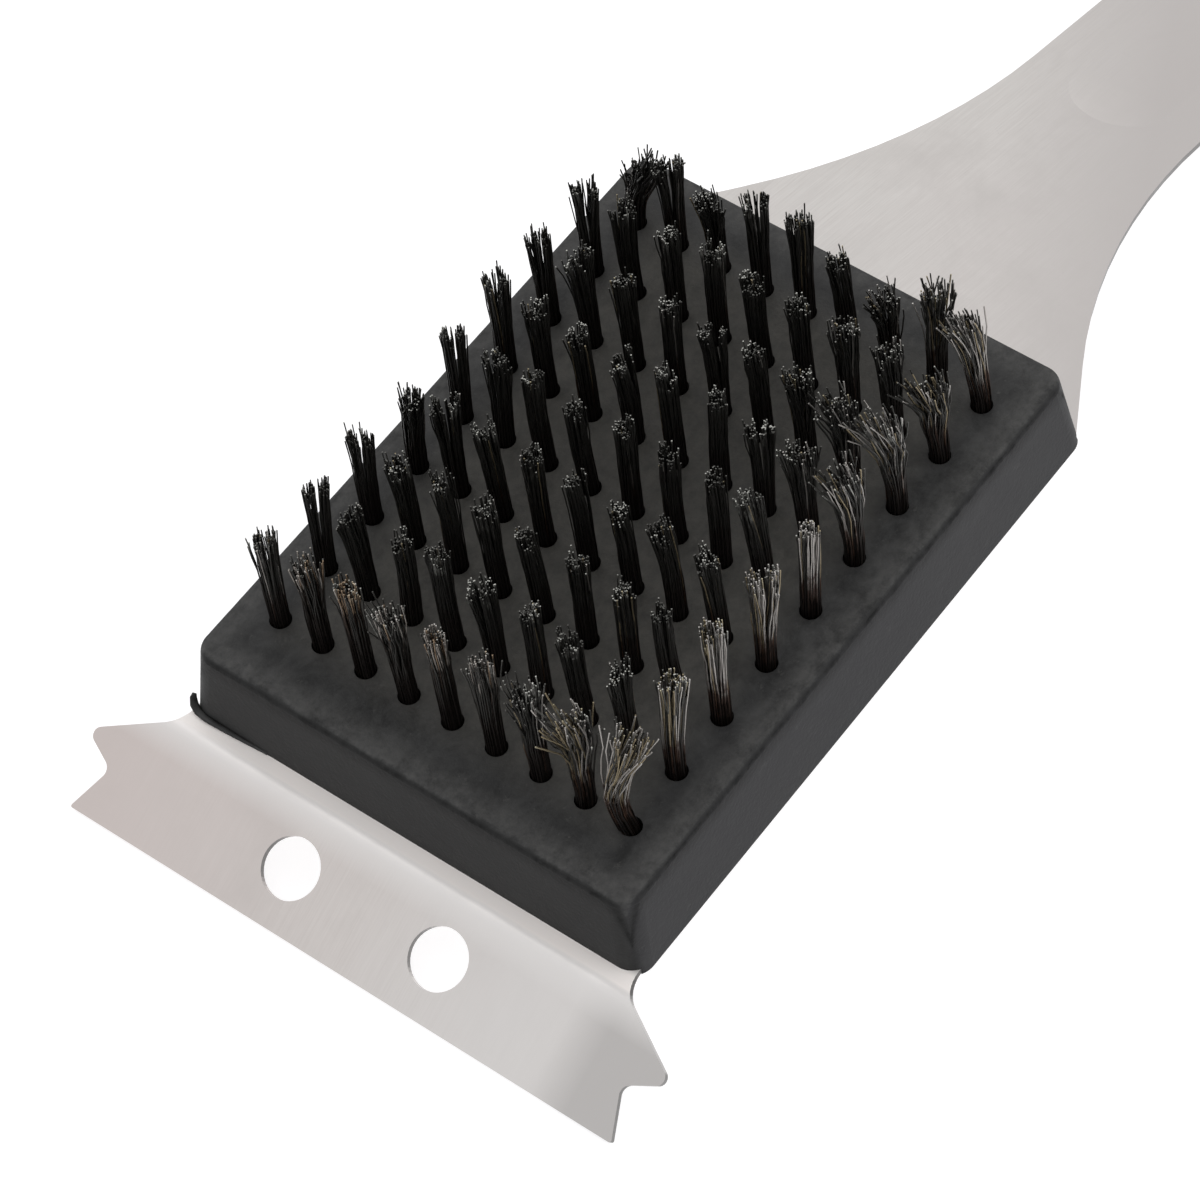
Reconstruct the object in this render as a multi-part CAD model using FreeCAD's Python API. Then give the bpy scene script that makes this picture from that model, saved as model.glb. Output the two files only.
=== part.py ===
"""Grill cleaning brush: a bent steel blade with a notched scraper, a wire-tufted block and a riveted grip.

Millimetres. The brush is drawn in its head frame and then laid down as it lies on a table, bristles up:
X runs across the head, Y from the scraper towards the hanging ring and Z up, away from the blade's top face.
The last step tilts it until the scraper's lip and the grip's tail both touch the table.
"""
import FreeCAD, Part
import math
import os

V = FreeCAD.Vector
ACROSS = V(1, 0, 0)
UP = V(0, 0, 1)

# Sheet steel blade
SHEET_T = 1.0
BEND_R = 4.0
FIT_GAP = 0.05
ASSEMBLY_GAP = 0.1

# Scraper, bent down in front of the block
SCRAPER_GAP = 2.87
SCRAPER_ANGLE = 28.1
SCRAPER_LENGTH = 16.94
LIP_REACH = 8.7
EAR_REACH = 12.1
EAR_AT = 6.7
EAR_R = 1.2
NOTCH_DEPTH = 6.1
NOTCH_AT = 9.9
NOTCH_R = 1.5
WAIST_R = 5.0
WAIST_AT = 0.785
LIP_CORNER_R = 0.3
SCRAPER_HOLE_R = 4.35
SCRAPER_HOLE_SPACING = 24.7
SCRAPER_HOLE_AT = 8.45

# Neck, bent down behind the block
NECK_ANGLE = 15.8
NECK_BEND_INSET = 1.6
NECK_HALF_W = 14.9
NECK_FLARE_ANGLE = 29.2
NECK_FLARE_R = 114.0
NECK_SHOULDER_R = 3.0
RIB_START = 62.0
RIB_LENGTH = 48.0
RIB_HALF_W = 8.0
RIB_HEIGHT = 0.6

# Brush block
BLOCK_W = 75.0
BLOCK_L = 103.2
BLOCK_H = 13.4
SKIRT_T = 0.6
BLOCK_INSET = 1.7
BLOCK_CORNER_R = 3.2
BLOCK_EDGE_R = 1.2

# Wire tufts, each folded over a staple at the bottom of its hole
TUFT_COLUMNS = 9
TUFT_ROWS = 9
TUFT_MARGIN_X = 8.66
TUFT_MARGIN_Y = 12.08
TUFT_R = 1.5
TUFT_H = 20.0
TUFT_HOLE_DEPTH = 9.0
STAPLE_BITE = 0.25
STAPLE_H = 1.8
STAPLE_T = 0.4

# Screws that hold the block, from below
SCREW_COLUMN = 3.5
SCREW_ROW = 3.5
SCREW_R = 1.5
SCREW_LENGTH = 10.0
SCREW_HEAD_R = 3.4
SCREW_HEAD_H = 1.8
SCREW_CROSS_W = 0.8
SCREW_CROSS_L = 4.0
SCREW_CROSS_DEPTH = 1.0

# Grip: two moulded scales riveted to the blade's tang
GRIP_START = 118.0
GRIP_LENGTH = 160.0
GRIP_TOP_H = 8.6
GRIP_BOTTOM_H = 9.6
GRIP_FRONT_R = 8.0
GRIP_TAIL_R = 11.0
TANG_CORNER_R = 6.0
GRIP_NOSE = 34.0
GRIP_END_H = 1.6
GRIP_STATIONS = 6
RIVET_MARGIN = 24.0
RIVET_COUNT = 3
RIVET_R = 2.5
RIVET_HEAD_R = 4.2
RIVET_HEAD_T = 1.0
RIVET_DOME = 0.7
RIVET_SINK = 0.3
GROOVE_START = 37.0
GROOVE_PITCH = 5.0
GROOVE_COUNT = 7
GROOVE_R = 2.4
GROOVE_DEPTH = 0.8

# Rolled eye and hanging ring
EYE_HALF_W = 8.0
EYE_REACH = 6.0
EYE_WRAP = 325.0
RING_WIRE_R = 1.5
RING_BEND_R = 3.5
RING_SIDE_GAP = 1.0
RING_STRAIGHT = 9.0
RING_PLAY = 0.08

# Reach of the cutting shapes past the sheet, sideways and up and down
FAR = 80.0
CUT_H = 20.0

HEAD_HALF_W = BLOCK_W / 2 - SKIRT_T - ASSEMBLY_GAP
TUFT_PITCH_X = (BLOCK_W - 2 * TUFT_MARGIN_X) / (TUFT_COLUMNS - 1)
TUFT_PITCH_Y = (BLOCK_L - 2 * TUFT_MARGIN_Y) / (TUFT_ROWS - 1)
STAPLE_W = 2 * (TUFT_R + FIT_GAP + STAPLE_BITE)
BEND_FRONT_Y = -BLOCK_L / 2 - SCRAPER_GAP
BEND_REAR_Y = BLOCK_L / 2 - NECK_BEND_INSET
GRIP_END = GRIP_START + GRIP_LENGTH
EYE_R = RING_WIRE_R + RING_PLAY
EYE_AT = GRIP_END + EYE_REACH
EYE_DROP = EYE_R + SHEET_T


def outline_wire(corners):
    """Closed wire through corners (x, y, radius), with a tangent arc of that radius at each corner."""
    edges = []
    last = None
    first = None
    count = len(corners)
    for i, (x, y, radius) in enumerate(corners):
        here = V(x, y, 0)
        before = V(*corners[i - 1][:2], 0) - here
        after = V(*corners[(i + 1) % count][:2], 0) - here
        before.normalize()
        after.normalize()
        if radius > 0:
            half = before.getAngle(after) / 2
            reach = radius / math.tan(half)
            middle = before + after
            middle.normalize()
            centre = here + middle * (radius / math.sin(half))
            start = here + before * reach
            end = here + after * reach
            arc = Part.Arc(start, centre - middle * radius, end).toShape()
        else:
            start = here
            end = here
            arc = None
        if last is not None:
            edges.append(Part.makeLine(last, start))
        if arc is not None:
            edges.append(arc)
        if first is None:
            first = start
        last = end
    edges.append(Part.makeLine(last, first))
    return Part.Wire(edges)


def mirrored(half):
    """Corners of the whole outline from those of its right half, which run from the back to the front."""
    return half + [(-x, y, radius) for x, y, radius in reversed(half)]


def prism(corners, low, high):
    """Solid between two heights over an outline."""
    face = Part.Face(outline_wire(corners))
    face.translate(UP * low)
    return face.extrude(UP * (high - low))


def on_scraper(shape):
    """Moves a shape from the scraper's own plane, its bend line on X and its lip along -Y, to its place."""
    return shape.transformed(
        FreeCAD.Placement(V(0, BEND_FRONT_Y, 0), FreeCAD.Rotation(ACROSS, SCRAPER_ANGLE)).toMatrix()
    )


def neck_placement():
    """Place of the neck's plane, which starts at its bend line and runs along +Y."""
    return FreeCAD.Placement(V(0, BEND_REAR_Y, 0), FreeCAD.Rotation(ACROSS, -NECK_ANGLE))


def on_neck(shape):
    """Moves a shape from the neck's own plane, its bend line on X and the grip along +Y, to its place."""
    return shape.transformed(neck_placement().toMatrix())


def bend_edges(corner_y, angle, side, depth):
    """End points and middle of the arc at a bend, on the face that lies depth below the top face.

    side is -1 for the scraper's bend and 1 for the neck's, and the first point is the one on the head.
    """
    reach = BEND_R * math.tan(math.radians(angle) / 2)
    centre = V(0, corner_y - side * reach, -BEND_R)
    radius = BEND_R - depth
    points = []
    for share in (0, 0.5, 1):
        turn = math.radians(angle) * share
        points.append(centre + V(0, side * math.sin(turn), math.cos(turn)) * radius)
    return points


def slope_point(corner_y, angle, side, along, depth):
    """Point on a bent wing, a distance along its top face from the bend line and a depth below that face."""
    turn = math.radians(angle)
    outward = V(0, side * math.cos(turn), -math.sin(turn))
    inward = V(0, -side * math.sin(turn), -math.cos(turn))
    return V(0, corner_y, 0) + outward * along + inward * depth


def sheet_ribbon():
    """The blade's side profile, as a ribbon of sheet wider than any of its wings."""
    front = (BEND_FRONT_Y, SCRAPER_ANGLE, -1)
    rear = (BEND_REAR_Y, NECK_ANGLE, 1)
    edges = []
    front_top = bend_edges(*front, 0)
    front_low = bend_edges(*front, SHEET_T)
    rear_top = bend_edges(*rear, 0)
    rear_low = bend_edges(*rear, SHEET_T)
    lip_top = slope_point(*front, SCRAPER_LENGTH, 0)
    lip_low = slope_point(*front, SCRAPER_LENGTH, SHEET_T)
    tail_top = slope_point(*rear, EYE_AT, 0)
    tail_low = slope_point(*rear, EYE_AT, SHEET_T)
    edges.append(Part.makeLine(lip_top, front_top[2]))
    edges.append(Part.Arc(*reversed(front_top)).toShape())
    edges.append(Part.makeLine(front_top[0], rear_top[0]))
    edges.append(Part.Arc(*rear_top).toShape())
    edges.append(Part.makeLine(rear_top[2], tail_top))
    edges.append(Part.makeLine(tail_top, tail_low))
    edges.append(Part.makeLine(tail_low, rear_low[2]))
    edges.append(Part.Arc(*reversed(rear_low)).toShape())
    edges.append(Part.makeLine(rear_low[0], front_low[0]))
    edges.append(Part.Arc(*front_low).toShape())
    edges.append(Part.makeLine(front_low[2], lip_low))
    edges.append(Part.makeLine(lip_low, lip_top))
    face = Part.Face(Part.Wire(edges))
    face.translate(-ACROSS * FAR)
    return face.extrude(ACROSS * (2 * FAR))


def scraper_outline():
    """The scraper's outline from under the block's front edge to the lip, in its own plane."""
    return mirrored([
        (HEAD_HALF_W, BLOCK_CORNER_R, 0),
        (HEAD_HALF_W, WAIST_AT, WAIST_R),
        (HEAD_HALF_W + EAR_REACH, -EAR_AT, EAR_R),
        (HEAD_HALF_W + EAR_REACH - NOTCH_DEPTH, -NOTCH_AT, NOTCH_R),
        (HEAD_HALF_W + LIP_REACH, -SCRAPER_LENGTH, LIP_CORNER_R),
    ])


def neck_outline():
    """The neck's and the tang's outline from the bend behind the block to the rolled eye."""
    taper = (HEAD_HALF_W - NECK_HALF_W) / math.tan(math.radians(NECK_FLARE_ANGLE))
    return mirrored([
        (EYE_HALF_W, EYE_AT, 0),
        (EYE_HALF_W, GRIP_END, 0),
        (NECK_HALF_W, GRIP_END, TANG_CORNER_R),
        (NECK_HALF_W, taper, NECK_FLARE_R),
        (HEAD_HALF_W, 0, NECK_SHOULDER_R),
        (HEAD_HALF_W, -BLOCK_CORNER_R, 0),
    ])


def rib_body(extra):
    """Long pillow that stands in the neck, with round ends; extra is added to its radius."""
    radius = (RIB_HALF_W ** 2 + RIB_HEIGHT ** 2) / (2 * RIB_HEIGHT)
    depth = radius - RIB_HEIGHT
    start = V(0, RIB_START + RIB_HALF_W, -depth)
    end = V(0, RIB_START + RIB_LENGTH - RIB_HALF_W, -depth)
    body = Part.makeCylinder(radius + extra, (end - start).Length, start, V(0, 1, 0))
    body = body.fuse(Part.makeSphere(radius + extra, start))
    body = body.fuse(Part.makeSphere(radius + extra, end))
    return body.removeSplitter()


def half_space(low, high):
    """A wide block between two heights along the neck."""
    return Part.makeBox(2 * FAR, 4 * FAR, high - low, V(-FAR, 0, low))


def rolled_eye():
    """The end of the tang rolled down into an eye, in the neck's plane."""
    def ring_point(radius, degrees):
        turn = math.radians(degrees)
        return V(0, EYE_AT + radius * math.sin(turn), -EYE_DROP + radius * math.cos(turn))

    outer = EYE_R + SHEET_T
    outside = [ring_point(outer, share * EYE_WRAP) for share in (0, 0.5, 1)]
    inside = [ring_point(EYE_R, share * EYE_WRAP) for share in (1, 0.5, 0)]
    edges = [
        Part.Arc(*outside).toShape(),
        Part.makeLine(outside[2], inside[0]),
        Part.Arc(*inside).toShape(),
        Part.makeLine(inside[2], outside[0]),
    ]
    face = Part.Face(Part.Wire(edges))
    face.translate(-ACROSS * EYE_HALF_W)
    return face.extrude(ACROSS * (2 * EYE_HALF_W))


def screw_places():
    """Centres of the block's screws, each in the middle of four tufts."""
    x = SCREW_COLUMN * TUFT_PITCH_X
    y = SCREW_ROW * TUFT_PITCH_Y
    return [V(sx * x, sy * y, 0) for sx in (-1, 1) for sy in (-1, 1)]


def rivet_places():
    """Centres of the grip's rivets, in the neck's plane."""
    step = (GRIP_LENGTH - 2 * RIVET_MARGIN) / (RIVET_COUNT - 1)
    return [V(0, GRIP_START + RIVET_MARGIN + step * i, 0) for i in range(RIVET_COUNT)]


def blade():
    """Scraper, head, neck and tang: one bent sheet."""
    wings = on_scraper(prism(scraper_outline(), -CUT_H, CUT_H))
    head_corner = V(-HEAD_HALF_W, BEND_FRONT_Y, -CUT_H)
    head = Part.makeBox(2 * HEAD_HALF_W, BEND_REAR_Y - BEND_FRONT_Y, 2 * CUT_H, head_corner)
    tang = on_neck(prism(neck_outline(), -CUT_H, CUT_H))
    sheet = sheet_ribbon().common(wings.fuse([head, tang]))

    rib = on_neck(rib_body(0).common(half_space(-SHEET_T / 2, CUT_H)))
    hollow = on_neck(rib_body(-SHEET_T).common(half_space(-CUT_H, CUT_H)))
    sheet = sheet.fuse(rib).cut(hollow)
    sheet = sheet.fuse(on_neck(rolled_eye())).removeSplitter()

    holes = []
    for side in (-1, 1):
        place = V(side * SCRAPER_HOLE_SPACING / 2, -SCRAPER_HOLE_AT, -CUT_H)
        holes.append(on_scraper(Part.makeCylinder(SCRAPER_HOLE_R, 2 * CUT_H, place, UP)))
    for place in screw_places():
        holes.append(Part.makeCylinder(SCREW_R + ASSEMBLY_GAP, 2 * CUT_H, place - UP * CUT_H, UP))
    for place in rivet_places():
        holes.append(on_neck(Part.makeCylinder(RIVET_R + ASSEMBLY_GAP, 2 * CUT_H, place - UP * CUT_H, UP)))
    return sheet.cut(holes)


def tuft_places(row):
    """Centres of the tufts in one row, on the blade's top face."""
    y = (row - (TUFT_ROWS - 1) / 2) * TUFT_PITCH_Y
    return [V((i - (TUFT_COLUMNS - 1) / 2) * TUFT_PITCH_X, y, 0) for i in range(TUFT_COLUMNS)]


def brush_block():
    """Moulded block that sits over the head, with a skirt down both sides of the sheet."""
    def layer(inset, z):
        half_w = BLOCK_W / 2 - inset
        half_l = BLOCK_L / 2 - inset
        radius = BLOCK_CORNER_R
        wire = outline_wire(mirrored([(half_w, half_l, radius), (half_w, -half_l, radius)]))
        wire.translate(UP * z)
        return wire

    body = Part.makeLoft([layer(0, -SHEET_T), layer(BLOCK_INSET, BLOCK_H)], True, True)
    rim = [e for e in body.Edges if e.BoundBox.ZMin > BLOCK_H - SHEET_T]
    body = body.makeFillet(BLOCK_EDGE_R, rim)
    half_w = BLOCK_W / 2 - SKIRT_T
    cuts = [Part.makeBox(2 * half_w, 2 * FAR, SHEET_T, V(-half_w, -FAR, -SHEET_T))]
    for row in range(TUFT_ROWS):
        for place in tuft_places(row):
            bottom = place + UP * (BLOCK_H - TUFT_HOLE_DEPTH)
            cuts.append(Part.makeCylinder(TUFT_R + FIT_GAP, 2 * TUFT_HOLE_DEPTH, bottom, UP))
    for place in screw_places():
        cuts.append(Part.makeCylinder(SCREW_R + FIT_GAP, SCREW_LENGTH + FIT_GAP, place - UP * FIT_GAP, UP))
    return body.cut(cuts)


def staple(place):
    """Flat wire staple that holds one tuft, driven across its hole."""
    corner = place + V(-STAPLE_W / 2, -STAPLE_T / 2, BLOCK_H - TUFT_HOLE_DEPTH)
    return Part.makeBox(STAPLE_W, STAPLE_T, STAPLE_H, corner)


def tuft(place):
    """The room that one bundle of wires fills, folded round its staple."""
    bottom = place + UP * (BLOCK_H - TUFT_HOLE_DEPTH)
    bundle = Part.makeCylinder(TUFT_R, TUFT_HOLE_DEPTH + TUFT_H, bottom, UP)
    return bundle.cut(staple(place))


def block_screw(place):
    """Pan-head screw with a cross recess, driven up through the sheet into the block."""
    head_low = place - UP * (SHEET_T + SCREW_HEAD_H)
    shank = Part.makeCylinder(SCREW_R, SCREW_LENGTH + SHEET_T, place - UP * SHEET_T, UP)
    head = Part.makeCylinder(SCREW_HEAD_R, SCREW_HEAD_H, head_low, UP)
    low_rim = [e for e in head.Edges if e.BoundBox.ZMax < head_low.z + SCREW_HEAD_H / 4]
    head = head.makeFillet(SCREW_HEAD_H / 2, low_rim)
    cuts = []
    for long_x, long_y in ((SCREW_CROSS_L, SCREW_CROSS_W), (SCREW_CROSS_W, SCREW_CROSS_L)):
        corner = head_low - V(long_x / 2, long_y / 2, SCREW_CROSS_DEPTH)
        cuts.append(Part.makeBox(long_x, long_y, 2 * SCREW_CROSS_DEPTH, corner))
    return head.fuse(shank).removeSplitter().cut(cuts)


def grip_height(along, full):
    """Height of a scale above the tang: full in the middle and falling in a quarter ellipse to each end."""
    from_end = min(along - GRIP_START, GRIP_END - along)
    share = min(1.0, max(0.0, from_end / GRIP_NOSE))
    return GRIP_END_H + (full - GRIP_END_H) * math.sqrt(1 - (1 - share) ** 2)


def grip_stations():
    """Distances along the tang of a scale's sections, closer together towards both ends."""
    nose = [GRIP_NOSE * (1 - math.cos(math.pi / 2 * i / GRIP_STATIONS)) for i in range(GRIP_STATIONS + 1)]
    return [GRIP_START + s for s in nose] + [GRIP_END - s for s in reversed(nose)]


def rivet_seat(place, full):
    """Height above the tang of a rivet head's seat, which keeps its dome just under the scale's crest."""
    return grip_height(place.y, full) - RIVET_HEAD_T - RIVET_DOME - RIVET_SINK


def grip_scale(full):
    """One scale, crowned across and along, standing on the plane z = 0 of the neck."""
    sections = []
    for along in grip_stations():
        height = grip_height(along, full)
        left = V(-NECK_HALF_W, along, 0)
        right = V(NECK_HALF_W, along, 0)
        crown = V(0, along, height)
        if height > NECK_HALF_W:
            ellipse = Part.Ellipse(crown, right, V(0, along, 0))
        else:
            ellipse = Part.Ellipse(right, crown, V(0, along, 0))
        arc = Part.Arc(ellipse, 0, math.pi).toShape()
        sections.append(Part.Wire([arc, Part.makeLine(left, right)]))
    body = Part.makeLoft(sections, True, False)
    plan = prism(mirrored([
        (NECK_HALF_W, GRIP_END, GRIP_TAIL_R),
        (NECK_HALF_W, GRIP_START, GRIP_FRONT_R),
    ]), -CUT_H, CUT_H)
    body = body.common(plan)
    cuts = []
    for place in rivet_places():
        seat = place + UP * rivet_seat(place, full)
        cuts.append(Part.makeCylinder(RIVET_R + FIT_GAP, 2 * CUT_H, place - UP * CUT_H, UP))
        cuts.append(Part.makeCylinder(RIVET_HEAD_R + FIT_GAP, CUT_H, seat, UP))
    for i in range(GROOVE_COUNT):
        along = GRIP_START + GROOVE_START + GROOVE_PITCH * i
        centre = V(-NECK_HALF_W, along, grip_height(along, full) + GROOVE_R - GROOVE_DEPTH)
        cuts.append(Part.makeCylinder(GROOVE_R, 2 * NECK_HALF_W, centre, ACROSS))
    return body.cut(cuts)


def grip_top():
    """Upper scale."""
    return on_neck(grip_scale(GRIP_TOP_H))


def under_tang(shape):
    """Turns a shape that stands on the tang over to hang below it."""
    flip = FreeCAD.Placement(V(0, 0, -SHEET_T), FreeCAD.Rotation(V(0, 1, 0), 180))
    return shape.transformed(flip.toMatrix())


def grip_bottom():
    """Lower scale, a little deeper for the fingers."""
    return on_neck(under_tang(grip_scale(GRIP_BOTTOM_H)))


def rivet_head(seat):
    """Domed rivet head that stands on its seat."""
    rim = Part.makeCylinder(RIVET_HEAD_R, RIVET_HEAD_T, seat, UP)
    radius = (RIVET_HEAD_R ** 2 + RIVET_DOME ** 2) / (2 * RIVET_DOME)
    top = seat + UP * (RIVET_HEAD_T + RIVET_DOME)
    ball = Part.makeSphere(radius, top - UP * radius)
    dome = ball.common(Part.makeCylinder(RIVET_HEAD_R, RIVET_DOME, top - UP * RIVET_DOME, UP))
    return rim.fuse(dome)


def grip_rivet(place):
    """Rivet through both scales and the tang, with a domed head at each end."""
    top = rivet_seat(place, GRIP_TOP_H)
    bottom = rivet_seat(place, GRIP_BOTTOM_H)
    shaft = Part.makeCylinder(RIVET_R, top + bottom + SHEET_T, place - UP * (SHEET_T + bottom), UP)
    heads = [rivet_head(place + UP * top), under_tang(rivet_head(place + UP * bottom))]
    return on_neck(shaft.fuse(heads).removeSplitter())


def ring_size():
    """Half width and straight side of the ring's centreline."""
    half_w = EYE_HALF_W + RING_SIDE_GAP + RING_BEND_R
    return half_w, RING_BEND_R + RING_STRAIGHT


def ring_reach():
    """Distance from the ring's axis to the far end of its centreline."""
    half_w, shoulder = ring_size()
    return half_w + shoulder


def eye_centre():
    """The hanging ring's axis, in the head frame."""
    return neck_placement().multVec(V(0, EYE_AT, -EYE_DROP))


def hanging_ring(droop):
    """D-shaped wire ring, its straight bar in the rolled eye; droop is its angle below the head plane."""
    half_w, shoulder = ring_size()
    bar = half_w - RING_BEND_R
    diagonal = RING_BEND_R * (1 - math.sqrt(0.5))
    edges = [Part.makeLine(V(-bar, 0, 0), V(bar, 0, 0))]
    for side in (1, -1):
        corner = Part.Arc(
            V(side * bar, 0, 0),
            V(side * (half_w - diagonal), diagonal, 0),
            V(side * half_w, RING_BEND_R, 0),
        )
        edges.append(corner.toShape())
        edges.append(Part.makeLine(V(side * half_w, RING_BEND_R, 0), V(side * half_w, shoulder, 0)))
    bow = Part.Arc(V(half_w, shoulder, 0), V(0, shoulder + half_w, 0), V(-half_w, shoulder, 0))
    edges.append(bow.toShape())
    path = Part.Wire(Part.__sortEdges__(edges))
    section = Part.Wire(Part.makeCircle(RING_WIRE_R, V(0, 0, 0), ACROSS))
    ring = path.makePipeShell([section], True, False)
    turn = FreeCAD.Placement(eye_centre(), FreeCAD.Rotation(ACROSS, -droop))
    return ring.transformed(turn.toMatrix())


def rest_tilt():
    """Angle between the head plane and the table when the scraper's lip and the lower scale touch it."""
    lip = slope_point(BEND_FRONT_Y, SCRAPER_ANGLE, -1, SCRAPER_LENGTH, SHEET_T)
    steepest = 0.0
    for along in grip_stations():
        low = neck_placement().multVec(V(0, along, -SHEET_T - grip_height(along, GRIP_BOTTOM_H)))
        steepest = max(steepest, math.degrees(math.atan2(lip.z - low.z, low.y - lip.y)))
    return steepest


def ring_droop(tilt):
    """Angle of the ring below the head plane when its far end lies on the table."""
    lip = slope_point(BEND_FRONT_Y, SCRAPER_ANGLE, -1, SCRAPER_LENGTH, SHEET_T)
    level = FreeCAD.Rotation(ACROSS, tilt)
    height = level.multVec(eye_centre()).z - level.multVec(lip).z
    fall = min(1.0, (height - RING_WIRE_R - ASSEMBLY_GAP) / ring_reach())
    return tilt + math.degrees(math.asin(fall))


def build():
    """Every node's shape in the head frame."""
    nodes = {
        "blade": blade(),
        "brush_block": brush_block(),
        "block_screws": Part.makeCompound([block_screw(place) for place in screw_places()]),
        "grip_top": grip_top(),
        "grip_bottom": grip_bottom(),
        "grip_rivets": Part.makeCompound([grip_rivet(place) for place in rivet_places()]),
        "hanging_ring": hanging_ring(ring_droop(rest_tilt())),
    }
    for row in range(TUFT_ROWS):
        places = tuft_places(row)
        nodes[f"tuft_row_{row + 1}"] = Part.makeCompound([tuft(place) for place in places])
        nodes[f"staple_row_{row + 1}"] = Part.makeCompound([staple(place) for place in places])
    return nodes


def laid_down(nodes):
    """Placement that lays the brush on the table, with the origin under the middle of its box."""
    tilt = FreeCAD.Placement(V(0, 0, 0), FreeCAD.Rotation(ACROSS, rest_tilt()))
    box = FreeCAD.BoundBox()
    for shape in nodes.values():
        box.add(shape.transformed(tilt.toMatrix()).optimalBoundingBox(False, False))
    shift = FreeCAD.Placement(V(-box.Center.x, -box.Center.y, -box.ZMin), FreeCAD.Rotation())
    return shift * tilt


def main():
    """Writes one STEP file per node."""
    os.makedirs("parts", exist_ok=True)
    nodes = build()
    place = laid_down(nodes)
    for name, shape in nodes.items():
        shape.transformed(place.toMatrix()).exportStep(f"parts/{name}.step")
    return nodes, place


if __name__ == "__main__":
    main()
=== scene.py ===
"""Looks of the grill cleaning brush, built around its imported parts.

Metres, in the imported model's own frame. The head frame has its origin at the middle of the block's
underside: X across the head, Y towards the grip, Z up along the tufts. Colours are linear.
"""
import bpy
import math
import random
from mathutils import Matrix, Vector


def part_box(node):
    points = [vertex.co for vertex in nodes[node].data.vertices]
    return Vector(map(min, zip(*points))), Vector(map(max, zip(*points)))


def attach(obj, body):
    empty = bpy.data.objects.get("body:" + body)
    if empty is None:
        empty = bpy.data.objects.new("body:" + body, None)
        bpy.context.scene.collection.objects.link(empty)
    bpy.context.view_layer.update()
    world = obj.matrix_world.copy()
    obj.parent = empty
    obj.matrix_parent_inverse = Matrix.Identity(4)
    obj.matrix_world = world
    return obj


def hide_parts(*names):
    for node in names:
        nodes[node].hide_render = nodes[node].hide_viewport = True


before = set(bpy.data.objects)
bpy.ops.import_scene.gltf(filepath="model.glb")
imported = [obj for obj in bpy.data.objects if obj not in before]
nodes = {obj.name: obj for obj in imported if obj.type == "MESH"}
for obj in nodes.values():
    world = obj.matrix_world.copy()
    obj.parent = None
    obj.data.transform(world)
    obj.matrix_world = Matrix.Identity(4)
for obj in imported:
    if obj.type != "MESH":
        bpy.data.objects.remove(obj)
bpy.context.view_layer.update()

MM = 0.001

# Sizes of the head, as the parts have them
ROWS = 9
COLUMNS = 9
BLOCK_W = 75.0 * MM
BLOCK_L = 103.2 * MM
BLOCK_H = 13.4 * MM
BLOCK_INSET = 1.7 * MM
BLOCK_FRONT = -BLOCK_L / 2
TUFT_R = 1.5 * MM
TUFT_MIDDLE_H = 18.9 * MM

# Wires of one tuft
WIRE_ENDS = 84
WIRE_R = 0.12 * MM
ROOT_R = 1.36 * MM
ROOT_SINK = 1.2 * MM
FREE_H = 19.2 * MM
LONGEST_H = 21.4 * MM
WIRE_POINTS = 8
CLUMPS = 6
FIRST_SEED = 1700
GOLDEN_TURN = math.pi * (3 - math.sqrt(5))

# How the wires stray: the value in a tight tuft, and what looseness adds to it. Looseness is squared for the
# curl and the wave. Lengths are in millimetres; a clump's step and the stragglers are shares
SPLAY = (0.15, 1.05)
CURL = (0.1, 0.6)
WAVE = (0, 0.42)
KINK = (0.0315, 0.09)
LENGTH_STEP = (0.5, 0.4)
CLUMP_STEP = (0.6, 0.4)
STRAGGLERS = (0.03, 0.08)

# Shape of a stray wire: how much further a straggler curls, how hard a clump pulls, how late the lean sets
# in, how many radians the wave turns through, and how far a curl brings the tip down
STRAGGLER_CURL = 2.0
CLUMP_PULL = 0.5
LEAN_POWER = 1.4
WAVE_RADIANS = 10
CURL_DROP = 0.35

# An unshaped tuft: its range of heights and looseness, its usual lean and push in millimetres, the middle and
# spread of the gap between its halves in millimetres, and its shares of bare and of tan wires
PLAIN_HEIGHT = (0.9, 1.0)
PLAIN_LOOSE = (0.2, 0.45)
PLAIN_LEAN = 0.4
PLAIN_KNEE = 0.12
PLAIN_GAP = (0.12, 0.28)
PLAIN_BARE = 0.015
PLAIN_TAN = 0.02

# How far the clumps stand apart, as a share of the root's radius, and how their lengths vary in millimetres
CLUMP_SPREAD = 0.6
CLUMP_LENGTH = 0.6

# Lip of moulding flash round the block's foot, in millimetres: X, Y, Z and half thickness
FLASH = (
    (-37.9, -49.7, 1.0, 0.3),
    (-37.75, -50.2, 0.75, 0.5),
    (-37.0, -50.95, 0.6, 0.6),
    (-35.9, -51.5, 0.5, 0.58),
    (-34.2, -51.8, 0.4, 0.48),
    (-31.5, -51.75, 0.35, 0.4),
    (-28.0, -51.65, 0.3, 0.3),
    (-24.0, -51.45, 0.25, 0.22),
)

# Painted highlight bands on the sheet before the block, a broad glow and a bright strip at the bend: where
# they start and are full in millimetres before its front, and their share
PAINTED_GLOW_BAND = (7.0, 3.5, 0.85)
PAINTED_HIGHLIGHT_STRIP = (2.9, 1.9, 1)

# Painted light and shade across the scraper, a warm painted reflection on the left, lighter on the right and
# shade at the ear: the two places each runs between in millimetres, its shares there, and its colour
SCRAPER_PAINTED_LIGHT = (
    (-40, 10, 0.75, 0, (0.6, 0.53, 0.51)),
    (0, 24, 0, 0.7, (0.7, 0.68, 0.67)),
    (32, 38, 0, 0.85, (0.48, 0.463, 0.455)),
)

# Heights on a wire from the block's top, in millimetres
STAIN_BELOW_BARE = 4.5
STAIN_RUN = 3.0
BARE_RUN = 3.5
BARE_FROM = 6.6
BARE_FROM_IF_TIPPED = 13.5
WORN_FROM = 16.5
WORN_RUN = 4.0

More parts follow.
